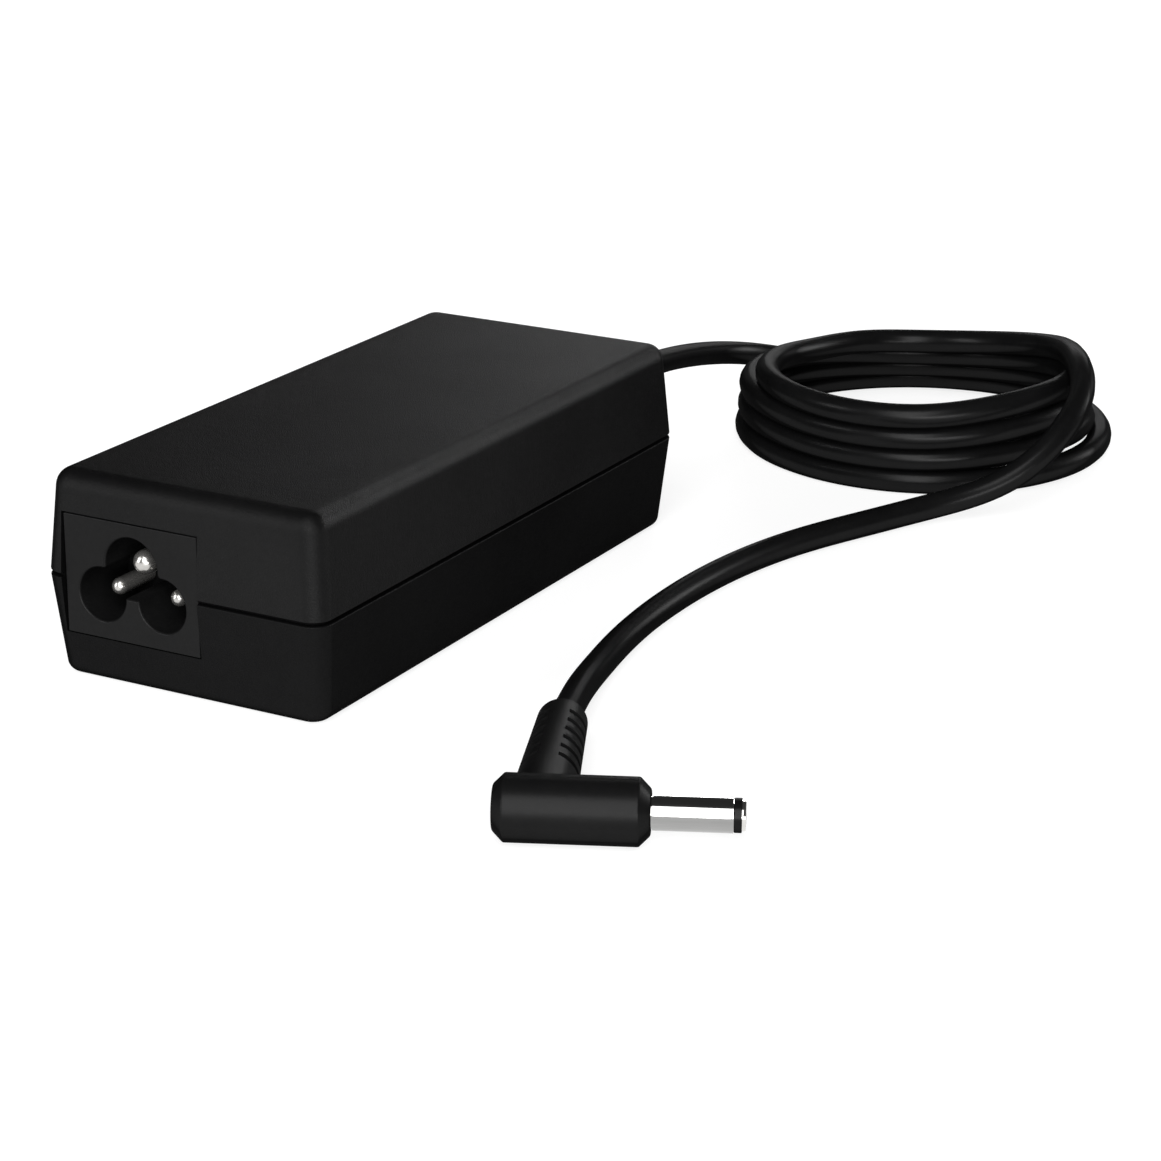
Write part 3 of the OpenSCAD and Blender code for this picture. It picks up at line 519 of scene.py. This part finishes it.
def group_inputs(tree, wanted):
    """Gives a geometry tree the inputs (label, kind, value) and one geometry output."""
    for label, kind, value in wanted:
        socket = tree.interface.new_socket(label, in_out="INPUT", socket_type=kind)
        if value is not None:
            socket.default_value = value
    tree.interface.new_socket("Geometry", in_out="OUTPUT", socket_type="NodeSocketGeometry")


def rib_tree():
    """Rings of a rounded section along +Y, each smaller than the last, joined to the piece."""
    tree = bpy.data.node_groups.new("relief ribs", "GeometryNodeTree")
    group_inputs(tree, (
        ("Geometry", "NodeSocketGeometry", None), ("Count", "NodeSocketInt", 5),
        ("First", "NodeSocketFloat", 1.0), ("Pitch", "NodeSocketFloat", 2.6),
        ("Radius", "NodeSocketFloat", 3.6), ("Taper", "NodeSocketFloat", 0.05),
        ("Rib width", "NodeSocketFloat", 1.4), ("Rib height", "NodeSocketFloat", 1.0),
        ("Axis height", "NodeSocketFloat", 15.0), ("Material", "NodeSocketMaterial", None)))
    new, link = tree.nodes.new, tree.links.new
    source, result = new("NodeGroupInput"), new("NodeGroupOutput")
    start, step = new("ShaderNodeCombineXYZ"), new("ShaderNodeCombineXYZ")
    link(source.outputs["First"], start.inputs["Y"])
    link(source.outputs["Axis height"], start.inputs["Z"])
    link(source.outputs["Pitch"], step.inputs["Y"])
    line = new("GeometryNodeMeshLine")
    link(source.outputs["Count"], line.inputs["Count"])
    link(start.outputs["Vector"], line.inputs["Start Location"])
    link(step.outputs["Vector"], line.inputs["Offset"])
    circle = new("GeometryNodeCurvePrimitiveCircle")
    circle.inputs["Resolution"].default_value = 64
    link(source.outputs["Radius"], circle.inputs["Radius"])
    section = new("GeometryNodeCurvePrimitiveQuadrilateral")
    link(source.outputs["Rib height"], section.inputs["Width"])
    link(source.outputs["Rib width"], section.inputs["Height"])
    soft = new("GeometryNodeFilletCurve")
    soft.mode = "POLY"
    soft.inputs["Count"].default_value, soft.inputs["Radius"].default_value = 4, 0.32
    link(section.outputs["Curve"], soft.inputs["Curve"])
    rib = new("GeometryNodeCurveToMesh")
    link(circle.outputs["Curve"], rib.inputs["Curve"])
    link(soft.outputs["Curve"], rib.inputs["Profile Curve"])
    index, smaller, scale = new("GeometryNodeInputIndex"), new("ShaderNodeMath"), new("ShaderNodeMath")
    smaller.operation, scale.operation = "MULTIPLY", "SUBTRACT"
    link(index.outputs["Index"], smaller.inputs[0])
    link(source.outputs["Taper"], smaller.inputs[1])
    scale.inputs[0].default_value = 1
    link(smaller.outputs["Value"], scale.inputs[1])
    size = new("ShaderNodeCombineXYZ")
    link(scale.outputs["Value"], size.inputs["X"])
    link(scale.outputs["Value"], size.inputs["Y"])
    size.inputs["Z"].default_value = 1
    placed = new("GeometryNodeInstanceOnPoints")
    link(line.outputs["Mesh"], placed.inputs["Points"])
    link(rib.outputs["Mesh"], placed.inputs["Instance"])
    placed.inputs["Rotation"].default_value = (pi / 2, 0, 0)
    link(size.outputs["Vector"], placed.inputs["Scale"])
    joined, real = new("GeometryNodeJoinGeometry"), new("GeometryNodeRealizeInstances")
    dressed = new("GeometryNodeSetMaterial")
    link(source.outputs["Geometry"], joined.inputs["Geometry"])
    link(placed.outputs["Instances"], joined.inputs["Geometry"])
    link(joined.outputs["Geometry"], real.inputs["Geometry"])
    link(real.outputs["Geometry"], dressed.inputs["Geometry"])
    link(source.outputs["Material"], dressed.inputs["Material"])
    link(dressed.outputs["Geometry"], result.inputs["Geometry"])
    return tree


def grow(piece, tree, **values):
    """Runs a geometry tree on the piece with the given inputs and keeps the result as its mesh."""
    step = piece.modifiers.new("grow", "NODES")
    step.node_group = tree
    for item in tree.interface.items_tree:
        if item.in_out == "INPUT" and item.name in values:
            step[item.identifier] = values[item.name]
    plain_mesh(piece)


relief_rubber = finish("relief rubber", (0.004, 0.004, 0.0042), (0.0075, 0.0075, 0.0078), (0.46, 0.62),
                       grain=4200, patches=120, wear=0.3, bump=0.00001, specular=0.0, satin=0.45,
                       sheen=(1.0, 0.03))
grow(relief, rib_tree(), **{"Count": 5, "First": wall_y + 1.7, "Pitch": 2.6, "Radius": 3.62, "Taper": 0.05,
                            "Rib width": 1.4, "Rib height": 1.1, "Axis height": joint_z,
                            "Material": relief_rubber})
settle(relief, relief_rubber, "cord_strain_relief", slot="moulded_rubber")

# ---------- DC plug ----------
# A right-angled barrel plug. A thin centre pin and a tubular inner contact stand in a black
# sleeve inside a plated steel barrel; the round plastic body is moulded over their back ends.

plug_turn, plug_r = radians(24.5), 4.35
plug_at, plug_along = Vector((65.46, -67.63, plug_r)), Vector((cos(plug_turn), sin(plug_turn), 0))
plug_axis = dict(origin=plug_at, along=plug_along)

# Stations along the plug, from the boot's axis towards the tip
body_x0, body_x1, ring_x0, ring_x1, tip_x1 = -6.0, 13.6, 23.8, 24.8, 25.3
back_x, pin_back_x = 10.6, 11.6
pin_r, contact_bore_r, contact_r, contact_tip_r = 0.4, 1.5, 1.7, 1.95
sleeve_r, ring_r, barrel_bore_r, barrel_r = 1.87, 2.17, 1.9, 2.25

steel = finish("plated steel", (0.28, 0.28, 0.275), (0.4, 0.4, 0.395), (0.07, 0.16), grain=1300, patches=240,
               wear=0.3, bump=0.000001, metallic=1.0, stretch=(12, 1, 1), turn=(0, 0, plug_turn))
contact_bright = finish("contact plating", (0.6, 0.59, 0.57), (0.77, 0.76, 0.73), (0.1, 0.2), grain=1300,
                        patches=300, wear=0.3, bump=0.000001, metallic=1.0)
sleeve_black = finish("sleeve black", (0.0035, 0.0035, 0.0036), (0.006, 0.006, 0.0062), (0.35, 0.5),
                      grain=4000, patches=400, bump=0.000004, specular=0.0, satin=0.3)

pin_tip_x = 24.1
pin_dome = [(pin_tip_x + pin_r * sin(a), pin_r * cos(a)) for a in (radians(15 * i) for i in range(7))]
centre_pin = turned_piece("centre_pin", [(pin_back_x, pin_r)] + pin_dome, around=32, **plug_axis)
settle(centre_pin, contact_bright, "plug_centre_pin", slot="nickel_contact")

contact = turned_piece("inner_contact", [
    (back_x, contact_r), (ring_x1, contact_r), (ring_x1, contact_tip_r), (tip_x1 - 0.12, contact_tip_r),
    (tip_x1 - 0.03, 1.9), (tip_x1, 1.8), (tip_x1 - 0.02, 1.6), (tip_x1 - 0.2, contact_bore_r),
    (pin_back_x, contact_bore_r)], **plug_axis)
settle(contact, contact_bright, "plug_contact", slot="nickel_contact")

sleeve = turned_piece("contact_sleeve", [
    (back_x, sleeve_r), (ring_x0, sleeve_r), (ring_x0, ring_r - 0.12), (ring_x0 + 0.08, ring_r),
    (ring_x1 - 0.08, ring_r), (ring_x1, ring_r - 0.12)], **plug_axis)
cut_away(sleeve, turned_piece("bore", [(10, contact_r + 0.03), (27, contact_r + 0.03)], **plug_axis))
settle(sleeve, sleeve_black, "plug_insulator", slot="plug_plastic")

barrel = turned_piece("outer_barrel", [
    (back_x, barrel_r - 0.2), (body_x1 + 0.2, barrel_r - 0.2), (body_x1 + 0.2, barrel_r),
    (ring_x0 - 0.06, barrel_r), (ring_x0, barrel_r - 0.06)], **plug_axis)
cut_away(barrel, turned_piece("bore", [(10, barrel_bore_r), (27, barrel_bore_r)], **plug_axis))
settle(barrel, steel, "plug_barrel", slot="nickel_contact")

plug_black = finish("plug black", (0.0038, 0.0038, 0.0039), (0.0065, 0.0065, 0.0066), (0.36, 0.5), grain=5200,
                    patches=90, wear=0.3, bump=0.000012, specular=0.0, satin=0.36, sheen=(1.0, 0.05))

# The two ends of the body are alike but for the bore: (distance in from the end, radius)
body_end = ((0, 2.8), (0.05, 2.92), (0.14, 3.06), (1.28, 4.21), (1.4, 4.31), (1.56, plug_r))
body = turned_piece("plug_shell",
                    [(body_x0, 2.0)] + [(body_x0 + d, r) for d, r in body_end]
                    + [(body_x1 - d, r) for d, r in reversed(body_end)] + [(body_x1, 2.1)],
                    around=128, **plug_axis)
cut_away(body, turned_piece("bore", [(10.4, 2.1), (15, 2.1)], **plug_axis))
settle(body, plug_black, "plug_body", slot="plug_plastic", sharp=50)

# ---------- Cord boot ----------
# The same soft plastic as the plug, moulded over the cord where it turns off at right angles.
# Slots cut in from both sides leave a smooth web along the top and let the boot bend.

boot_droop, boot_turn, boot_l = radians(1.5), radians(24), 26.5
boot_reach = plug_r + boot_l
boot = turned_piece("boot", [
    (1, 4.2), (boot_reach - 0.72, 3.41), (boot_reach - 0.5, 3.34), (boot_reach - 0.22, 3.16),
    (boot_reach - 0.05, 2.9), (boot_reach, 2.7), (boot_reach, 1.9)], around=96)


def slot_tree():
    """Cuts pairs of slots from both sides of the piece, at equal steps back along +Y."""
    tree = bpy.data.node_groups.new("boot slots", "GeometryNodeTree")
    group_inputs(tree, (
        ("Geometry", "NodeSocketGeometry", None), ("Count", "NodeSocketInt", 6),
        ("Last", "NodeSocketFloat", 26.0), ("Pitch", "NodeSocketFloat", 3.35),
        ("Slot width", "NodeSocketFloat", 1.3), ("Slot depth", "NodeSocketFloat", 3.0),
        ("Web", "NodeSocketFloat", 2.6), ("Material", "NodeSocketMaterial", None)))
    new, link = tree.nodes.new, tree.links.new
    source, result = new("NodeGroupInput"), new("NodeGroupOutput")
    size = new("ShaderNodeCombineXYZ")
    link(source.outputs["Slot depth"], size.inputs["X"])
    link(source.outputs["Slot width"], size.inputs["Y"])
    # Higher than the boot, so that each slot runs from its top to its underside
    size.inputs["Z"].default_value = 12
    block = new("GeometryNodeMeshCube")
    link(size.outputs["Vector"], block.inputs["Size"])
    half_web, half_depth, reach = new("ShaderNodeMath"), new("ShaderNodeMath"), new("ShaderNodeMath")
    half_web.operation, half_depth.operation, reach.operation = "MULTIPLY", "MULTIPLY", "ADD"
    half_web.inputs[1].default_value = half_depth.inputs[1].default_value = 0.5
    link(source.outputs["Web"], half_web.inputs[0])
    link(source.outputs["Slot depth"], half_depth.inputs[0])
    link(half_web.outputs["Value"], reach.inputs[0])
    link(half_depth.outputs["Value"], reach.inputs[1])
    back = new("ShaderNodeMath")
    back.operation = "MULTIPLY"
    back.inputs[1].default_value = -1
    link(source.outputs["Pitch"], back.inputs[0])
    step = new("ShaderNodeCombineXYZ")
    link(back.outputs["Value"], step.inputs["Y"])
    pairs = new("GeometryNodeJoinGeometry")
    for side in (1, -1):
        across = new("ShaderNodeMath")
        across.operation = "MULTIPLY"
        across.inputs[1].default_value = side
        link(reach.outputs["Value"], across.inputs[0])
        start = new("ShaderNodeCombineXYZ")
        link(across.outputs["Value"], start.inputs["X"])
        link(source.outputs["Last"], start.inputs["Y"])
        line = new("GeometryNodeMeshLine")
        link(source.outputs["Count"], line.inputs["Count"])
        link(start.outputs["Vector"], line.inputs["Start Location"])
        link(step.outputs["Vector"], line.inputs["Offset"])
        placed = new("GeometryNodeInstanceOnPoints")
        link(line.outputs["Mesh"], placed.inputs["Points"])
        link(block.outputs["Mesh"], placed.inputs["Instance"])
        link(placed.outputs["Instances"], pairs.inputs["Geometry"])
    cutters = new("GeometryNodeRealizeInstances")
    link(pairs.outputs["Geometry"], cutters.inputs["Geometry"])
    cut = new("GeometryNodeMeshBoolean")
    cut.operation, cut.solver = "DIFFERENCE", "EXACT"
    link(source.outputs["Geometry"], cut.inputs["Mesh 1"])
    link(cutters.outputs["Geometry"], cut.inputs["Mesh 2"])
    real, dressed = new("GeometryNodeRealizeInstances"), new("GeometryNodeSetMaterial")
    link(cut.outputs["Mesh"], real.inputs["Geometry"])
    link(real.outputs["Geometry"], dressed.inputs["Geometry"])
    link(source.outputs["Material"], dressed.inputs["Material"])
    link(dressed.outputs["Geometry"], result.inputs["Geometry"])
    return tree


boot_place = (Matrix.Translation(plug_at) @ Matrix.Rotation(boot_turn, 4, "Z")
              @ Matrix.Rotation(-boot_droop, 4, "X"))
# The plug's body runs through the boot's foot
cut_away(boot, turned_piece("bore", [(-8, 4.2), (16, 4.2)],
                            along=boot_place.inverted().to_3x3() @ plug_along))
boot_black = finish("boot black", (0.004, 0.004, 0.0041), (0.007, 0.007, 0.0071), (0.4, 0.55), grain=5000,
                    patches=110, wear=0.3, bump=0.000012, specular=0.0, satin=0.36, sheen=(1.0, 0.06))
grow(boot, slot_tree(), **{"Count": 6, "Last": boot_reach - 4.65, "Pitch": 3.357, "Slot width": 1.3,
                           "Slot depth": 3.0, "Web": 2.6, "Material": boot_black})
lips = boot.modifiers.new("lips", "BEVEL")
lips.width, lips.segments, lips.limit_method, lips.angle_limit = 0.14, 2, "ANGLE", radians(50)
plain_mesh(boot)
boot.data.transform(boot_place)
settle(boot, boot_black, "plug_boot", slot="plug_plastic", sharp=40)

# ---------- DC cord ----------
# One length of round two-core cord in a soft black jacket, moulded into the relief at one end
# and the boot at the other. It is coiled in four turns and a quarter, and the rest runs to the plug.

loops, cord_d = 4, 4.2
coil_turns, cord_z = loops + 0.25, cord_d / 2


def ease(x):
    """Rises smoothly from 0 to 1 as x does."""
    x = min(max(x, 0), 1)
    return x * x * (3 - 2 * x)


# The coil is an oval that leans: each loop lies a step above the last, shifted and a little smaller.
# Its first loop starts wider by the entry, and one stretch of its last loop is tucked in.
centre, across_r, along_r, coil_turn = Vector((38.4, 114.5)), 29.6, 31.4, radians(-61.5)
step0, rise, shrink, lean, drift = 4.35, 0.4, 0.75, 2.3, 0.7
entry, entry_power, early = 4.4, 2.2, 0.025
tuck, tuck_from, tuck_in, tuck_back, tuck_out, tuck_drop = 4.2, 3.6, 0.26, 3.87, 0.13, 0.3
lean_way = Vector((cos(coil_turn), sin(coil_turn)))
side_way = Vector((-sin(coil_turn), cos(coil_turn)))


def coil_point(t):
    """Centre line of the coil after t turns, clockwise from above, starting at the back on the surface."""
    a = 2 * pi * t
    layer = sum(ease(2 * (t - k + early * (loops - k))) for k in range(1, loops + 1))
    slipped = tuck * ease((t - tuck_from) / tuck_in) * (1 - ease((t - tuck_back) / tuck_out))
    spread = entry * (1 - min(t, 1)) ** entry_power - slipped
    inward = lean * cos(a) + drift * sin(a) + shrink
    step = step0 + rise * max(0, sin(a))
    climb = sqrt(step * step - inward * inward)
    along, across = along_r - shrink * layer + spread, across_r - shrink * layer + spread
    plan = (centre + lean_way * lean * layer - side_way * drift * layer
            - lean_way * cos(a) * along + side_way * sin(a) * across)
    return Vector((plan.x, plan.y, cord_z + climb * layer - tuck_drop * slipped))


boot_way = Vector((-sin(boot_turn) * cos(boot_droop), cos(boot_turn) * cos(boot_droop), -sin(boot_droop)))
boot_end = plug_at + boot_way * boot_reach
lead_route = [(0, 56, 15), (0, 65.2, 15), (0, 77, 15), (-0.6, 87, 14.2), (-1.6, 97, 12.8), (-2.6, 107, 11),
              (-3, 116, 9.2), (-2.6, 125, 7.2), (-0.4, 133.4, 5.1), (4, 139, 3.3), (10, 142.2, 2.3)]
tail_route = [(68.67, 110.5, 18.81), (72.49, 103, 17.89), (74.33, 97, 16.15), (74.51, 91.8, 14.27),
              (73.39, 87.2, 11.21), (71.39, 83.6, 8.47), (68.53, 80.6, 6.1), (64.91, 77.9, 4.24),
              (61.11, 74.6, 3.12), (56.3, 69.2, cord_z), (52.6, 60.5, cord_z), (48.8, 51.8, cord_z),
              (45.8, 43, cord_z), (43.7, 33.5, cord_z), (42.5, 23.5, cord_z), (42.2, 13.5, cord_z),
              (42.6, 3.5, cord_z), (43.8, -6.5, cord_z), (45.6, -16, cord_z), (48, -25.5, 2.6),
              (50.4, -32.2, 3.2)]
stations_per_turn = 24
coil_route = [coil_point(i / stations_per_turn) for i in range(int(coil_turns * stations_per_turn) + 1)]
in_boot = [boot_end, boot_end - boot_way * 2.5, boot_end - boot_way * 8]
route = [Vector(p) for p in lead_route] + coil_route + [Vector(p) for p in tail_route] + in_boot


def smooth_line(stations, spacing):
    """Evenly spaced points on a rounded curve through the stations."""
    dense, steps = [], 24
    for i in range(1, len(stations) - 2):
        p0, p1, p2, p3 = stations[i - 1:i + 3]
        k0, k1, k2 = ((b - a).length ** 0.5 for a, b in ((p0, p1), (p1, p2), (p2, p3)))
        m1 = (p2 - p1) + k1 * ((p1 - p0) / k0 - (p2 - p0) / (k0 + k1))
        m2 = (p2 - p1) + k1 * ((p3 - p2) / k2 - (p3 - p1) / (k1 + k2))
        for j in range(steps):
            s = j / steps
            dense.append(p1 * (2 * s ** 3 - 3 * s * s + 1) + m1 * (s ** 3 - 2 * s * s + s)
                         + p2 * (3 * s * s - 2 * s ** 3) + m2 * (s ** 3 - s * s))
    dense.append(stations[-2])
    total = sum((b - a).length for a, b in zip(dense, dense[1:]))
    count = round(total / spacing)
    points, walked, i = [dense[0]], 0.0, 0
    for k in range(1, count):
        want = total * k / count
        while walked + (dense[i + 1] - dense[i]).length < want:
            walked += (dense[i + 1] - dense[i]).length
            i += 1
        part = (want - walked) / (dense[i + 1] - dense[i]).length
        points.append(dense[i].lerp(dense[i + 1], part))
    points.append(dense[-1])
    return points


point_spacing, smoothing_passes = 1.5, 12
line = smooth_line(route, point_spacing)
for _ in range(smoothing_passes):
    inner = [line[i] * 0.5 + (line[i - 1] + line[i + 1]) * 0.25 for i in range(2, len(line) - 2)]
    line = line[:2] + inner + line[-2:]
curve = bpy.data.curves.new("cord", "CURVE")
curve.dimensions = "3D"
curve.bevel_depth, curve.bevel_resolution, curve.use_fill_caps = cord_d / 2 * mm, 7, True
spline = curve.splines.new("POLY")
spline.points.add(len(line) - 1)
for point, p in zip(spline.points, line):
    point.co = (*(p * mm), 1)
spline.use_smooth = True
cord = bpy.data.objects.new("cord", curve)
bpy.context.scene.collection.objects.link(cord)
cord_black = finish("cord jacket black", (0.0035, 0.0035, 0.0036), (0.0058, 0.0058, 0.006), (0.3, 0.42),
                    grain=4200, patches=150, wear=0.3, bump=0.000006, specular=0.0, satin=0.3,
                    sheen=(1.0, 0.025))
curve.materials.append(cord_black)
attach(cord, "root")
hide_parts("cord_lead", "cord_coil", "cord_tail")

# ---------- Table and light ----------
# A round table that shows white to the eye and in shiny surfaces, in a dim room. A tall soft lamp
# and two strips stand on the viewer's side. Three low lamps behind draw the light line along the
# case's upper edge and lift its top.

table_r, table_grey, table_glow = 2.2, 0.3, 0.82
table = bpy.data.objects.new("table", bpy.data.meshes.new("table"))
rim_points = [(table_r * cos(2 * pi * i / 96), table_r * sin(2 * pi * i / 96), 0) for i in range(96)]
table.data.from_pydata(rim_points, [], [tuple(range(96))])
bpy.context.scene.collection.objects.link(table)
table_white = bpy.data.materials.new("table white")
table_white.use_nodes = True
nodes, link = table_white.node_tree.nodes, table_white.node_tree.links.new
shader, path = nodes["Principled BSDF"], nodes.new("ShaderNodeLightPath")
shader.inputs["Base Color"].default_value = (table_grey, table_grey, table_grey, 1)
shader.inputs["Roughness"].default_value = 0.9
shader.inputs["Specular IOR Level"].default_value = 0.0
seen = nodes.new("ShaderNodeMath")
seen.operation = "ADD"
seen_all = nodes.new("ShaderNodeMath")
seen_all.operation, seen_all.use_clamp = "ADD", True
link(path.outputs["Is Camera Ray"], seen.inputs[0])
link(path.outputs["Is Glossy Ray"], seen.inputs[1])
link(seen.outputs["Value"], seen_all.inputs[0])
link(path.outputs["Is Transmission Ray"], seen_all.inputs[1])
lift = nodes.new("ShaderNodeMath")
lift.operation = "MULTIPLY"
lift.inputs[1].default_value = table_glow
link(seen_all.outputs["Value"], lift.inputs[0])
shader.inputs["Emission Color"].default_value = (1, 1, 1, 1)
link(lift.outputs["Value"], shader.inputs["Emission Strength"])
table.data.materials.append(table_white)

world = bpy.data.worlds.new("room")
bpy.context.scene.world = world
world.use_nodes = True
world.node_tree.nodes["Background"].inputs["Color"].default_value = (1, 1, 1, 1)
world.node_tree.nodes["Background"].inputs["Strength"].default_value = 0.05

lamp_aim = Vector((0.03, 0.03, 0.015))


def soft_lamp(name, azimuth_deg, elevation_deg, distance, width, height, radiance):
    """A rectangular lamp that faces the adapter; radiance is what a mirror would show of it."""
    lamp = bpy.data.lights.new(name, "AREA")
    lamp.shape, lamp.size, lamp.size_y = "RECTANGLE", width, height
    lamp.energy = radiance * pi * width * height
    piece = bpy.data.objects.new(name, lamp)
    a, e = radians(azimuth_deg), radians(elevation_deg)
    way = Vector((sin(a) * cos(e), -cos(a) * cos(e), sin(e)))
    piece.location = lamp_aim + way * distance
    piece.rotation_euler = way.to_track_quat("Z", "Y").to_euler()
    bpy.context.scene.collection.objects.link(piece)


# Name, azimuth and elevation in degrees, then distance, width and height in metres, and radiance
for lamp in (("front lamp", 20, 35, 4, 1.7, 3.9, 7.2),
             ("left strip", -36, 19, 4, 1.12, 2.5, 7.8),
             ("right strip", 40, 6, 4, 2.6, 0.75, 13),
             ("back strip", 158, 11, 1, 0.46, 0.25, 15.5),
             ("far strip", 196, 12, 1, 0.5, 0.17, 30),
             ("far corner lamp", 210, 15, 1, 0.54, 0.39, 2.5)):
    soft_lamp(*lamp)

bpy.context.scene.view_settings.view_transform = "Standard"
